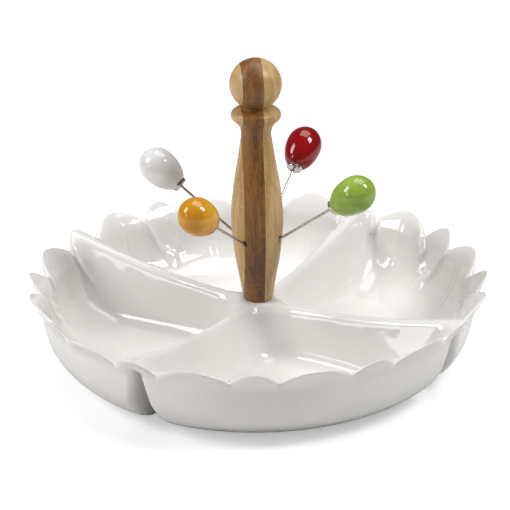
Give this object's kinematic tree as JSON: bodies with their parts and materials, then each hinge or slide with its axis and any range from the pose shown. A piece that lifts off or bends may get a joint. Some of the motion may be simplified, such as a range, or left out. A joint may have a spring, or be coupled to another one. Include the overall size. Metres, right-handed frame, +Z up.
{
  "type": "chip and dip server",
  "caption": "Round stoneware serving dish with radial compartments and a petal rim, a turned wooden carrying handle at its hub and removable cocktail picks standing in the handle.",
  "frame": {"origin": "centre of the surface that the dish stands on, under the handle's axis", "axes": "+Z up along the handle, +X and +Y along the dividers"},
  "size_m": [0.304, 0.304, 0.2036],
  "materials": {
    "white_glaze": "glossy, slightly warm white glaze over stoneware",
    "light_wood": "satin lacquer over light tan laminated wood with a fine fleck",
    "dark_wood": "satin lacquer over reddish brown laminated wood with a flecked grain",
    "steel": "bright drawn steel",
    "ferrule_metal": "plated, polished",
    "brass": "turned brass",
    "seal_rubber": "matt",
    "white_bead": "glossy white glaze",
    "red_bead": "glossy deep red glaze",
    "green_bead": "glossy lime green glaze",
    "amber_bead": "glossy amber yellow glaze"
  },
  "bodies": {
    "server": {"dish": "white_glaze", "handle_slip_belly": "light_wood", "handle_slip_collar": "light_wood", "handle_slip_ball": "light_wood", "handle_stave_dark": "dark_wood", "handle_stave_light": "light_wood", "threaded_insert": "brass", "handle_screw": "steel", "steel_washer": "steel", "seal_washer": "seal_rubber"},
    "pick_green": {"pick_green_pin": "steel", "pick_green_ferrule": "ferrule_metal", "pick_green_head": "green_bead"},
    "pick_red": {"pick_red_pin": "steel", "pick_red_ferrule": "ferrule_metal", "pick_red_head": "red_bead"},
    "pick_white": {"pick_white_pin": "steel", "pick_white_ferrule": "ferrule_metal", "pick_white_head": "white_bead"},
    "pick_amber": {"pick_amber_pin": "steel", "pick_amber_ferrule": "ferrule_metal", "pick_amber_head": "amber_bead"}
  },
  "joints": [
    {"name": "pick_green_pull", "type": "slide", "parent": "server", "child": "pick_green", "axis": [0.8008, 0.0701, 0.5948], "range_m": [0, 0.04]},
    {"name": "pick_red_pull", "type": "slide", "parent": "server", "child": "pick_red", "axis": [-0.0474, 0.7972, 0.6018], "range_m": [0, 0.04]},
    {"name": "pick_white_pull", "type": "slide", "parent": "server", "child": "pick_white", "axis": [-0.7997, -0.1224, 0.5878], "range_m": [0, 0.04]},
    {"name": "pick_amber_pull", "type": "slide", "parent": "server", "child": "pick_amber", "axis": [-0.0043, -0.8191, 0.5736], "range_m": [0, 0.04]}
  ]
}
